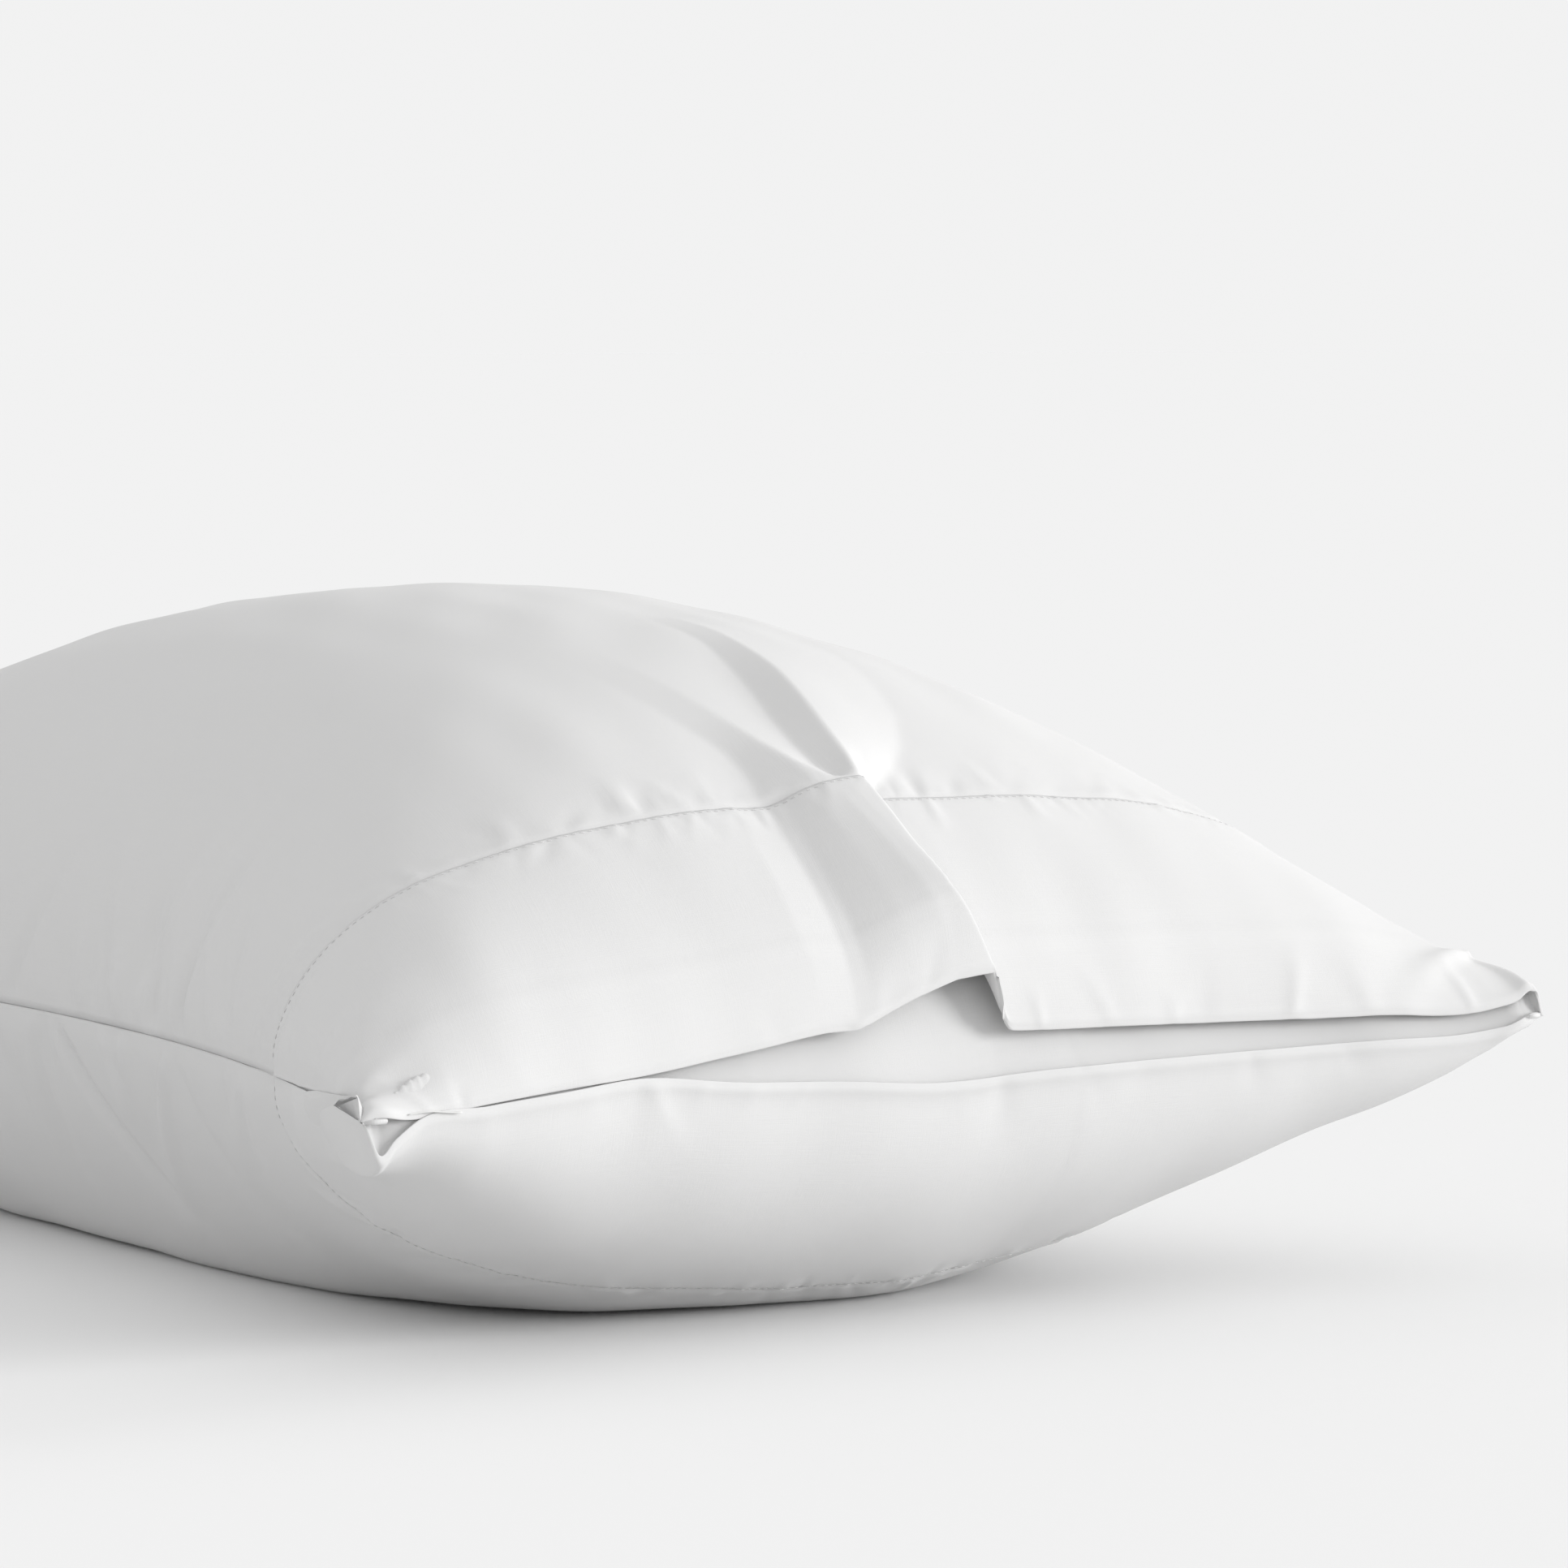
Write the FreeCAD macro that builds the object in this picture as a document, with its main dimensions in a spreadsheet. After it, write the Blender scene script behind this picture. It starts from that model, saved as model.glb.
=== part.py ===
"""Bed pillow: a filled insert in a pillowcase with a deep hem, lying flat on a level surface.

Millimetres. +X runs along the pillow towards the open mouth of the case, +Y towards the far
side, +Z up. The origin is on the surface the pillow lies on, under the middle of the case.
"""
import FreeCAD, Part
import Sketcher
import math
import os

DIMENSIONS = [
    ("case_length", 684.0, "case as it lies, closed end to lips"),
    ("mouth_width", 486.0, "case across the mouth and across the closed end"),
    ("side_pull", 48.0, "how far each side pulls in at mid length"),
    ("crown_above", 147.0, "top of the case above its side seams"),
    ("crown_below", 135.0, "underside below its side seams, before the surface flattens it"),
    ("seam_level", 93.0, "side seams above the surface at mid length"),
    ("near_corner_level", 88.0, "near corner of the mouth above the surface"),
    ("far_corner_level", 94.0, "far corner of the mouth above the surface"),
    ("contact_softness", 14.0, "height over which the underside rounds into the contact patch"),
    ("contact_cut", 0.15, "cloth pressed flat at the contact patch"),
    ("lip_gap", 6.0, "each lip away from the seam line at the middle of the mouth"),
    ("lip_bow", 11.0, "middle of the mouth set back from its corners"),
    ("hem_depth", 106.0, "deep hem, lips to hem seam along the cloth"),
    ("ply_thickness", 0.5, "one ply of case cloth"),
    ("ply_gap", 0.1, "between the two plies of the deep hem"),
    ("hem_joint", 0.3, "between the case panel's edge and the hem's edge"),
    ("seam_clearance", 0.1, "hem plies to the seam allowance they close on"),
    ("allowance_width", 8.0, "felled seam allowance inside the case"),
    ("allowance_thickness", 1.8, "felled seam allowance, all plies"),
    ("stitch_width", 0.8, "width of a row of stitching"),
    ("stitch_height", 0.3, "stitching proud of the cloth"),
    ("stitch_gap", 0.05, "between stitching and cloth"),
    ("hem_stitch_inset", 1.6, "hem stitching to the hem seam"),
    ("seam_stitch_inset", 5.6, "seam stitching to the outer edge of the seam"),
    ("end_gap", 3.7, "insert's piping to the case's end seam allowance"),
    ("mouth_pocket", 62.0, "insert's mouth end to the lips"),
    ("side_gap", 3.7, "insert's piping to the case's side seam allowances"),
    ("crown_slack", 9.0, "case crown over the insert's crown"),
    ("contact_slack", 1.1, "insert's contact patch over the case"),
    ("ticking_thickness", 0.6, "insert cover cloth"),
    ("fill_gap", 2.3, "fill to the closing stitches of the insert"),
    ("fill_slack", 1.4, "fill to the ticking"),
    ("piping_radius", 1.8, "piping round the insert"),
    ("piping_gap", 0.3, "piping to the ticking above and below it"),
    ("piping_offset", 0.5, "piping centre outside the insert's seam"),
    ("piping_corner", 8.0, "how far from each corner the piping starts to turn"),
    ("piping_join", 0.4, "between the two ends of the piping"),
    ("label_length", 34.0, "care label"),
    ("label_width", 20.0, "care label"),
    ("label_thickness", 0.3, "care label"),
    ("label_clearance", 1.0, "care label to the seam that holds it"),
]

# How round the crown is along and across the pillow: 1 - |place|^first, raised to the second.
CROWN_ALONG_ABOVE = (2.4, 0.62)
CROWN_ALONG_BELOW = (1.5, 0.5)
CROWN_ACROSS = (2.2, 0.5)

QUARTER = math.pi / 2
EDGE_NORMAL = 0.06      # radians from an edge at which its surface normal is read
ROWS_ALONG, ROWS_ACROSS = 31, 27
STRIP_ROWS = 4
CORNER_PULL = 0.45      # how full a smooth corner is, as a share of its chord
ARC_STEPS = 240
OUTPUT = "parts"

doc = FreeCAD.newDocument("bed_pillow")
sheet = doc.addObject("Spreadsheet::Sheet", "dims")
for row, (alias, value, note) in enumerate(DIMENSIONS, start=1):
    sheet.set(f"A{row}", note)
    sheet.set(f"B{row}", str(value))
    sheet.setAlias(f"B{row}", alias)
doc.recompute()


def dim(alias):
    """The value of a driving dimension."""
    return float(sheet.get(alias))


def vector(x, y, z):
    return FreeCAD.Vector(x, y, z)


def spread(low, high, count):
    """Evenly spaced values from low to high."""
    return [low + (high - low) * i / (count - 1) for i in range(count)]


def side_line(x):
    """Half width of the case at its side seams."""
    along = min(abs(x) / (dim("case_length") / 2), 1)
    return dim("mouth_width") / 2 - dim("side_pull") * (1 - along**2)


def seam_height(x, y):
    """Height of the seam line, which dips or lifts towards the corners."""
    along = min(abs(x) / (dim("case_length") / 2), 1)
    across = max(-1, min(1, y / side_line(x)))
    middle = dim("seam_level")
    corner = dim("near_corner_level") if across < 0 else dim("far_corner_level")
    return middle + (corner - middle) * along**4 * across**2


def crown(place, rounding):
    return max(0, 1 - abs(place) ** rounding[0]) ** rounding[1]


def flattened(height):
    """A height that settles smoothly onto the surface instead of passing through it."""
    soft = dim("contact_softness")
    if height > soft:
        return height
    return max(height + soft, 0) ** 2 / (4 * soft)


class Form:
    """One skin of a stuffed bag, addressed by two angles from -90 to 90 degrees."""

    def __init__(self, closed_x, mouth_x, side_inset, above, below, rise, floor, lips):
        self.middle = (closed_x + mouth_x) / 2
        self.half = (mouth_x - closed_x) / 2
        self.side_inset = side_inset
        self.height = {1: above, -1: below}
        self.rise = rise
        self.floor = floor
        self.lips = lips

    def point(self, along_angle, across_angle, side):
        """A point above (side 1) or below (side -1) the seam line."""
        along, across = math.sin(along_angle), math.sin(across_angle)
        bow = dim("lip_bow") * (1 - across**2) * max(along, 0) ** 2
        x = self.middle + along * self.half - bow
        y = across * (side_line(x) - self.side_inset)
        rounding = CROWN_ALONG_ABOVE if side > 0 else CROWN_ALONG_BELOW
        lift = self.height[side] * crown(along, rounding) * crown(across, CROWN_ACROSS)
        if self.lips:
            lift += dim("lip_gap") * max(along, 0) ** 4 * (1 - across**2)
        z = seam_height(x, y) + side * (self.rise + lift)
        if side < 0:
            z = self.floor + flattened(z - self.floor)
        return vector(x, y, z - dim("contact_cut"))

    def normal(self, along_angle, across_angle, side):
        """The outward normal, read a little inside the edges, where it is well defined."""
        limit, step = QUARTER - EDGE_NORMAL, 1e-3
        a = max(-limit, min(limit, along_angle))
        b = max(-limit, min(limit, across_angle))
        along = self.point(a + step, b, side) - self.point(a - step, b, side)
        across = self.point(a, b + step, side) - self.point(a, b - step, side)
        return (along.cross(across) * side).normalize()

    def skin(self, along_range, across_range, side, depth, rows=ROWS_ALONG):
        """A spline face at a depth under the skin. along_range(across) gives its two ends."""
        grid = []
        for i in range(rows):
            line = []
            for across in spread(*across_range, ROWS_ACROSS):
                start, end = along_range(across)
                a = start + (end - start) * i / (rows - 1)
                line.append(self.point(a, across, side) - self.normal(a, across, side) * depth)
            grid.append(line)
        surface = Part.BSplineSurface()
        surface.interpolate(grid)
        return surface.toShape()


def closed_solid(first, second):
    """The solid between two four-sided faces that were made the same way."""
    walls = [Part.makeRuledSurface(a, b) for a, b in zip(first.Edges, second.Edges)]
    shell = Part.makeShell([first, second] + walls)
    shell.sewShape()
    solid = Part.makeSolid(Part.Shell(shell.Faces))
    return solid.reversed() if solid.Volume < 0 else solid


def strip(edge, inward, start, end, low, high):
    """A flat ribbon beside a line of points: from start to end inwards, from low to high."""
    faces = []
    for level in (low, high):
        surface = Part.BSplineSurface()
        surface.interpolate(
            [
                [p + q * inset + vector(0, 0, level) for p, q in zip(edge, inward)]
                for inset in spread(start, end, STRIP_ROWS)
            ]
        )
        faces.append(surface.toShape())
    return closed_solid(*faces)


def add_feature(name, shape):
    feature = doc.addObject("Part::Feature", name)
    feature.Label = name
    feature.Shape = shape
    return feature


half_case = dim("case_length") / 2
hem_thickness = 2 * dim("ply_thickness") + dim("ply_gap")
case_rise = dim("allowance_thickness") / 2 + hem_thickness + dim("seam_clearance")
case = Form(
    -half_case, half_case, 0, dim("crown_above"), dim("crown_below"), case_rise, 0, lips=True
)

piping_reach = dim("piping_offset") + dim("piping_radius")
insert_rise = dim("piping_radius") + dim("piping_gap")
insert_floor = dim("ply_thickness") + dim("contact_slack")
insert_closed_x = -half_case + dim("allowance_width") + dim("end_gap") + piping_reach
insert_mouth_x = half_case - dim("mouth_pocket")
insert_inset = dim("allowance_width") + dim("side_gap") + piping_reach
insert_crowns = [dim(alias) - dim("crown_slack") for alias in ("crown_above", "crown_below")]
insert = Form(
    insert_closed_x, insert_mouth_x, insert_inset, *insert_crowns, insert_rise, insert_floor,
    lips=False,
)

closing_start = dim("piping_radius") + dim("stitch_gap")
fill_inset = closing_start + dim("stitch_width") + dim("fill_gap")
fill_depth = dim("ticking_thickness") + dim("fill_slack")
fill = Form(
    insert_closed_x + fill_inset, insert_mouth_x - fill_inset, insert_inset + fill_inset,
    *[height - fill_depth for height in insert_crowns], dim("stitch_width"),
    insert_floor + fill_depth, lips=False,
)


def hem_angle(across, side, depth):
    """The angle along the case at which the cloth is depth away from the lip."""
    last, travelled = case.point(QUARTER, across, side), 0
    for a in spread(QUARTER, -QUARTER, ARC_STEPS)[1:]:
        here = case.point(a, across, side)
        step = (here - last).Length
        if travelled + step >= depth:
            return a + (travelled + step - depth) / step * math.pi / (ARC_STEPS - 1)
        last, travelled = here, travelled + step
    raise ValueError("the hem is deeper than the case")


def case_piece(side, ends, near_lip, outer, inner, across=(-QUARTER, QUARTER), rows=ROWS_ALONG):
    """A layer of the case between two cloth depths from the lip; ends are None at an open end."""

    def along_range(angle):
        hem = hem_angle(angle, side, ends[0])
        return (hem, near_lip(angle)) if ends[1] is not None else (-QUARTER, hem)

    skins = [case.skin(along_range, across, side, depth, rows) for depth in (outer, inner)]
    return closed_solid(*skins)


def build_case_cloth():
    ply, hem = dim("ply_thickness"), dim("hem_depth")
    second = ply + dim("ply_gap")
    for side, word in ((1, "top"), (-1, "bottom")):
        panel = case_piece(side, (hem + dim("hem_joint"), None), None, 0, ply)
        if side < 0:
            reach = 2 * dim("case_length")
            under = Part.makeBox(reach, reach, reach, vector(-reach / 2, -reach / 2, -reach))
            panel = panel.cut(under).Solids[0]
        add_feature(f"case_{word}_panel", panel)
        lip = lambda angle: QUARTER
        add_feature(f"{word}_cuff_outer_ply", case_piece(side, (hem, 0), lip, 0, ply))
        add_feature(f"{word}_cuff_inner_ply", case_piece(side, (hem, 0), lip, second, second + ply))


def build_hem_stitching():
    """One row through the deep hem beside its seam, above and below."""
    start = dim("hem_depth") - dim("hem_stitch_inset")
    across = (-QUARTER + 3 * EDGE_NORMAL, QUARTER - 3 * EDGE_NORMAL)
    proud = dim("stitch_gap"), dim("stitch_gap") + dim("stitch_height")
    for side, word in ((1, "top"), (-1, "bottom")):
        end = lambda angle, s=side: hem_angle(angle, s, start - dim("stitch_width"))
        row = case_piece(side, (start, 0), end, -proud[0], -proud[1], across, STRIP_ROWS)
        add_feature(f"{word}_hem_stitching", row)


def side_edge(form, hand, angles):
    """Points along a side of a form on its seam line, and the way in from each."""
    edge = []
    for a in angles:
        high = form.point(a, hand * QUARTER, 1)
        edge.append(vector(high.x, high.y, high.z - form.rise))
    return edge, [vector(0, -hand, 0)] * len(edge)


def end_edge(form, end, trim):
    """Points along an end of a form on its seam line, kept trim away from its corners."""
    corner = form.point(end * QUARTER, QUARTER, 1)
    edge = []
    for y in spread(-corner.y + trim, corner.y - trim, ROWS_ACROSS):
        high = form.point(end * QUARTER, math.asin(y / corner.y), 1)
        lift = dim("lip_gap") * (1 - (y / corner.y) ** 2) if form.lips and end > 0 else 0
        edge.append(vector(high.x, y, high.z - form.rise - lift))
    return edge, [vector(-end, 0, 0)] * len(edge)


def build_case_seams():
    """Felled side and end seams, inside the case, each with its row of stitching."""
    width, half = dim("allowance_width"), dim("allowance_thickness") / 2
    low = half + dim("stitch_gap")
    high = low + dim("stitch_height")
    start = dim("seam_stitch_inset")
    corner = 1.5 * width
    angles = spread(-QUARTER, QUARTER, ROWS_ALONG)
    runs = {
        "near_side": side_edge(case, -1, angles),
        "far_side": side_edge(case, 1, angles),
        "closed_end": end_edge(case, -1, corner),
    }
    for word, (edge, inward) in runs.items():
        add_feature(f"{word}_seam", strip(edge, inward, 0, width, -half, half))
        stitching = strip(edge, inward, start, start + dim("stitch_width"), low, high)
        add_feature(f"{word}_seam_stitching", stitching)


def build_ticking():
    depth = dim("ticking_thickness")
    whole = (-QUARTER, QUARTER)
    for side, word in ((1, "top"), (-1, "bottom")):
        skins = [insert.skin(lambda angle: whole, whole, side, d) for d in (0, depth)]
        add_feature(f"insert_ticking_{word}", closed_solid(*skins))
    skins = [fill.skin(lambda angle: whole, whole, side, 0) for side in (1, -1)]
    add_feature("insert_fill", closed_solid(*skins))


def build_insert_stitching():
    """The closing stitches of the insert's seam, between the edges of its two panels."""
    width, half = dim("stitch_width"), dim("stitch_width") / 2
    start, trim = closing_start, dim("piping_corner") + width
    limit = math.asin(1 - trim / insert.half)
    angles = spread(-limit, limit, ROWS_ALONG)
    runs = [side_edge(insert, hand, angles) for hand in (-1, 1)]
    runs += [end_edge(insert, end, trim) for end in (-1, 1)]
    rows = [strip(edge, inward, start, start + width, -half, half) for edge, inward in runs]
    add_feature("insert_edge_stitching", Part.makeCompound(rows))


def spline_edge(points):
    curve = Part.BSplineCurve()
    curve.interpolate(points)
    return curve.toShape()


def corner_edge(before, after):
    """A smooth turn from the end of one edge to the start of the next."""
    start, end = before.valueAt(before.LastParameter), after.valueAt(after.FirstParameter)
    leave = before.tangentAt(before.LastParameter).normalize()
    arrive = after.tangentAt(after.FirstParameter).normalize()
    pull = (end - start).Length * CORNER_PULL
    turn = Part.BezierCurve()
    turn.setPoles([start, start + leave * pull, end - arrive * pull, end])
    return turn.toShape()


def build_piping():
    """Round piping in the insert's seam: one length, joined at the middle of the closed end."""
    offset, turn = dim("piping_offset"), dim("piping_corner")
    limit = math.asin(1 - turn / insert.half)
    runs = []
    for hand, end, reverse in ((-1, 1, False), (1, -1, True)):
        side = side_edge(insert, hand, spread(-limit, limit, ROWS_ALONG))
        for edge, inward in (side, end_edge(insert, end, turn)):
            run = [p - q * offset for p, q in zip(edge, inward)]
            runs.append(run[::-1] if reverse else run)
    near, mouth, far, closed = runs
    middle = len(closed) // 2
    gap = vector(0, dim("piping_join") / 2, 0)
    first, last = closed[middle:], closed[: middle + 1]
    first[0], last[-1] = first[0] - gap, last[-1] + gap
    edges = [spline_edge(run) for run in (first, near, mouth, far, last)]
    path = [edges[0]]
    for edge in edges[1:]:
        path += [corner_edge(path[-1], edge), edge]
    route = doc.addObject("Part::Feature", "piping_route")
    route.Shape = Part.Wire(path)
    profile = doc.addObject("Part::Circle", "piping_profile")
    profile.setExpression("Radius", "dims.piping_radius")
    turned = FreeCAD.Rotation(vector(0, 0, 1), path[0].tangentAt(path[0].FirstParameter))
    profile.Placement = FreeCAD.Placement(first[0], turned)
    piping = doc.addObject("Part::Sweep", "insert_piping")
    piping.Label = "insert_piping"
    piping.Sections = [profile]
    piping.Spine = (route, [f"Edge{i + 1}" for i in range(len(path))])
    piping.Solid = True
    piping.Frenet = False


def build_label(name, corner):
    """A blank care label, cut from tape, with its lowest corner at the given point."""
    body = doc.addObject("PartDesign::Body", name)
    body.Label = name
    sketch = body.newObject("Sketcher::SketchObject", f"{name}_outline")
    plane = next(f for f in body.Origin.OriginFeatures if f.Role == "XY_Plane")
    sketch.AttachmentSupport = (plane, [""])
    sketch.MapMode = "FlatFace"
    length, width = dim("label_length"), dim("label_width")
    corners = [vector(0, 0, 0), vector(length, 0, 0), vector(length, width, 0), vector(0, width, 0)]
    for i in range(4):
        sketch.addGeometry(Part.LineSegment(corners[i], corners[(i + 1) % 4]), False)
    for i in range(4):
        sketch.addConstraint(Sketcher.Constraint("Coincident", i, 2, (i + 1) % 4, 1))
    for i, way in enumerate(("Horizontal", "Vertical", "Horizontal", "Vertical")):
        sketch.addConstraint(Sketcher.Constraint(way, i))
    sketch.addConstraint(Sketcher.Constraint("Coincident", 0, 1, -1, 1))
    for way, line, alias in (("DistanceX", 0, "label_length"), ("DistanceY", 1, "label_width")):
        index = sketch.addConstraint(Sketcher.Constraint(way, line, 1, line, 2, dim(alias)))
        sketch.setExpression(f"Constraints[{index}]", f"dims.{alias}")
    pad = body.newObject("PartDesign::Pad", f"{name}_tape")
    pad.Profile = sketch
    pad.setExpression("Length", "dims.label_thickness")
    body.Placement = FreeCAD.Placement(corner, FreeCAD.Rotation())
    return body


def build_labels():
    """The case's label hangs in its near side seam, the insert's in its mouth-end seam."""
    clear = dim("label_clearance")
    x = half_case - dim("label_length") - clear
    edge = -side_line(x) + dim("allowance_width") + clear
    level = seam_height(x, edge) - dim("contact_cut")
    build_label("case_care_label", vector(x, edge, level))
    x = insert_mouth_x + piping_reach + clear
    y = dim("mouth_width") / 4
    build_label("insert_care_label", vector(x, y, seam_height(x, y) - dim("contact_cut")))


build_case_cloth()
build_hem_stitching()
build_case_seams()
build_ticking()
build_insert_stitching()
build_piping()
build_labels()
doc.recompute()

CONSTRUCTION = {"piping_route", "piping_profile"}
kinds = ("Part::Feature", "Part::Sweep", "PartDesign::Body")
pieces = [o for o in doc.Objects if o.TypeId in kinds and o.Name not in CONSTRUCTION]
for thing in doc.Objects:
    if {"Invalid", "Error"} & set(thing.State):
        raise RuntimeError(f"{thing.Name} did not recompute")
for piece in pieces:
    if piece.Shape.isNull() or not piece.Shape.isValid() or not piece.Shape.Solids:
        raise RuntimeError(f"{piece.Label} has no valid solid")

os.makedirs(OUTPUT, exist_ok=True)
for piece in pieces:
    piece.Shape.exportStep(os.path.join(OUTPUT, f"{piece.Label}.step"))
    box = piece.Shape.BoundBox
    print(f"{piece.Label:26s} {len(piece.Shape.Solids)} solid, {piece.Shape.Volume / 1000:9.2f} cm3,",
          f"x {box.XMin:.1f}..{box.XMax:.1f} y {box.YMin:.1f}..{box.YMax:.1f}",
          f"z {box.ZMin:.2f}..{box.ZMax:.1f}")
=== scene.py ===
"""Bed pillow: the finished pillowcase, hem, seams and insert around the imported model."""

import bpy
import numpy as np
from bpy.props import (
    FloatProperty,
    FloatVectorProperty,
    PointerProperty,
)
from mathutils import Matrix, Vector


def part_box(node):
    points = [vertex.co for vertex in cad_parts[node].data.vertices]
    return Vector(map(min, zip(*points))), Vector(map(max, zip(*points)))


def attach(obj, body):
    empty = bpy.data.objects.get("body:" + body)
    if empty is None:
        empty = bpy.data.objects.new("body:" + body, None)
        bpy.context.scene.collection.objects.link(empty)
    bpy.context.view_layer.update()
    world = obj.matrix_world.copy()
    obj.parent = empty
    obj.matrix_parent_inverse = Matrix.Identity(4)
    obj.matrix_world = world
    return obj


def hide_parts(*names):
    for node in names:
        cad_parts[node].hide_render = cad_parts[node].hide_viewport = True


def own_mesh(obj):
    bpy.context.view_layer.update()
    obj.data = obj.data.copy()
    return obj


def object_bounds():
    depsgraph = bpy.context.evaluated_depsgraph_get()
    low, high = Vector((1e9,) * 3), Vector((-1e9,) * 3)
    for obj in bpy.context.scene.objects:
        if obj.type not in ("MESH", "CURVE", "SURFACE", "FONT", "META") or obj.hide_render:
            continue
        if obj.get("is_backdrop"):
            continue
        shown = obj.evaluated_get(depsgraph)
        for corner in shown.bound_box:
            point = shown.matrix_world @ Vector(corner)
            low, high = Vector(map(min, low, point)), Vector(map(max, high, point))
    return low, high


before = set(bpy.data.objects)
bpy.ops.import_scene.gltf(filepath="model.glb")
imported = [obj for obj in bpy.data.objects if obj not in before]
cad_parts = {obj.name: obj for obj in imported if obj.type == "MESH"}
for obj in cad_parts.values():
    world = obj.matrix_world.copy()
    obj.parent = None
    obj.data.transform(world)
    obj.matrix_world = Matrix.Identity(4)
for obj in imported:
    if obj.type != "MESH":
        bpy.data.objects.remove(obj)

bl_info = {
    "name": "Bed Pillow",
    "version": (1, 0, 0),
    "blender": (4, 5, 0),
    "location": "View3D > Sidebar > Bed Pillow",
    "description": "Makes a bed pillow in a pillowcase with a deep stitched hem",
    "category": "Add Mesh",
}

QUARTER = np.pi / 2
SEED = 20
SIDES = ((1, "top"), (-1, "bottom"))

CAD_LOW, CAD_HIGH = (np.array(corner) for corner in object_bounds())
INSERT_LOW = np.minimum(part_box("insert_ticking_top")[0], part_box("insert_ticking_bottom")[0])
INSERT_HIGH = np.maximum(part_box("insert_ticking_top")[1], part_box("insert_ticking_bottom")[1])
HALF_LENGTH = float(CAD_HIGH[0])
HALF_WIDTH = float(CAD_HIGH[1])
LOFT = float(CAD_HIGH[2])


# ---------------------------------------------------------------- settings


class PillowSizes(bpy.types.PropertyGroup):
    """Sizes of the cloth, in metres."""

    hem_depth: FloatProperty(
        name="Hem depth", description="Deep hem, from the lip to its seam along the cloth",
        default=0.106, min=0.05, max=0.2, unit="LENGTH",
    )
    ply: FloatProperty(
        name="Cloth", description="Thickness of one ply of the case",
        default=0.00045, min=0.0002, max=0.002, precision=5, unit="LENGTH",
    )
    pleat_height: FloatProperty(
        name="Pleat height", description="Height of the fold in the upper hem at the mouth",
        default=0.0198, min=0.0, max=0.05, precision=4, unit="LENGTH",
    )
    wrinkle_height: FloatProperty(
        name="Wrinkles", description="Height of the drag wrinkles beside the side seams",
        default=0.0024, min=0.0, max=0.01, precision=4, unit="LENGTH",
    )
    pucker_height: FloatProperty(
        name="Puckers", description="Height of the puckers beside a row of stitching",
        default=0.0005, min=0.0, max=0.005, precision=4, unit="LENGTH",
    )
    stitch_pitch: FloatProperty(
        name="Stitch length", description="Distance between stitches",
        default=0.0031, min=0.001, max=0.01, precision=4, unit="LENGTH",
    )
    thread: FloatProperty(
        name="Thread", description="Diameter of the sewing thread",
        default=0.00042, min=0.0001, max=0.002, precision=5, unit="LENGTH",
    )
    weave_pitch: FloatProperty(
        name="Weave", description="Distance between threads of the percale",
        default=0.00036, min=0.0001, max=0.002, precision=5, unit="LENGTH",
    )


class PillowColours(bpy.types.PropertyGroup):
    """Colours of the cloths and threads."""

    percale: FloatVectorProperty(
        name="Percale", description="White of the pillowcase", subtype="COLOR", size=3,
        default=(0.668, 0.6665, 0.665), min=0, max=1,
    )
    thread: FloatVectorProperty(
        name="Thread", description="Sewing thread", subtype="COLOR", size=3,
        default=(0.67, 0.668, 0.665), min=0, max=1,
    )
    ticking: FloatVectorProperty(
        name="Ticking", description="Cover of the insert", subtype="COLOR", size=3,
        default=(0.64, 0.635, 0.62), min=0, max=1,
    )
    label: FloatVectorProperty(
        name="Label", description="Blank care label tape", subtype="COLOR", size=3,
        default=(0.70, 0.70, 0.69), min=0, max=1,
    )
    fibre: FloatVectorProperty(
        name="Fibre", description="Polyester fill", subtype="COLOR", size=3,
        default=(0.72, 0.72, 0.72), min=0, max=1,
    )


class StudioSettings(bpy.types.PropertyGroup):
    """Camera, floor and light."""

    lens: FloatProperty(
        name="Lens", description="Focal length", default=149.07, min=20, max=400, subtype="UNSIGNED",
    )
    turn: FloatProperty(
        name="Turn", description="Camera azimuth from the mouth towards the near side",
        default=np.radians(33.3), subtype="ANGLE",
    )
    tilt: FloatProperty(
        name="Tilt", description="Camera elevation", default=np.radians(4.06), subtype="ANGLE",
    )
    distance: FloatProperty(
        name="Distance", description="Camera to its aim", default=2.2907, unit="LENGTH",
    )
    aim: FloatVectorProperty(
        name="Aim", description="Point the camera looks at", subtype="XYZ", size=3,
        default=(0.21398, 0.00177, 0.17854), precision=4,
    )
    backdrop: FloatProperty(
        name="Backdrop", description="Brightness of the surroundings", default=0.886, min=0, max=5,
    )
    front: FloatProperty(
        name="Front light", description="Strength of the low light on the mouth", default=2.35,
        min=0, max=20,
    )
    front_turn: FloatProperty(
        name="Front turn", description="Front light azimuth from +X towards +Y",
        default=np.radians(53), subtype="ANGLE",
    )
    front_tilt: FloatProperty(
        name="Front tilt", description="Front light elevation", default=np.radians(12), subtype="ANGLE",
    )
    side: FloatProperty(
        name="Side light", description="Strength of the light from the far side", default=0.4,
        min=0, max=20,
    )
    side_turn: FloatProperty(
        name="Side turn", description="Side light azimuth from +X towards +Y",
        default=np.radians(100), subtype="ANGLE",
    )
    side_tilt: FloatProperty(
        name="Side tilt", description="Side light elevation", default=np.radians(25), subtype="ANGLE",
    )
    softness: FloatProperty(
        name="Softness", description="Angle that each light fills", default=np.radians(24),
        subtype="ANGLE",
    )


# ---------------------------------------------------------------- the cloth's shape

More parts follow.
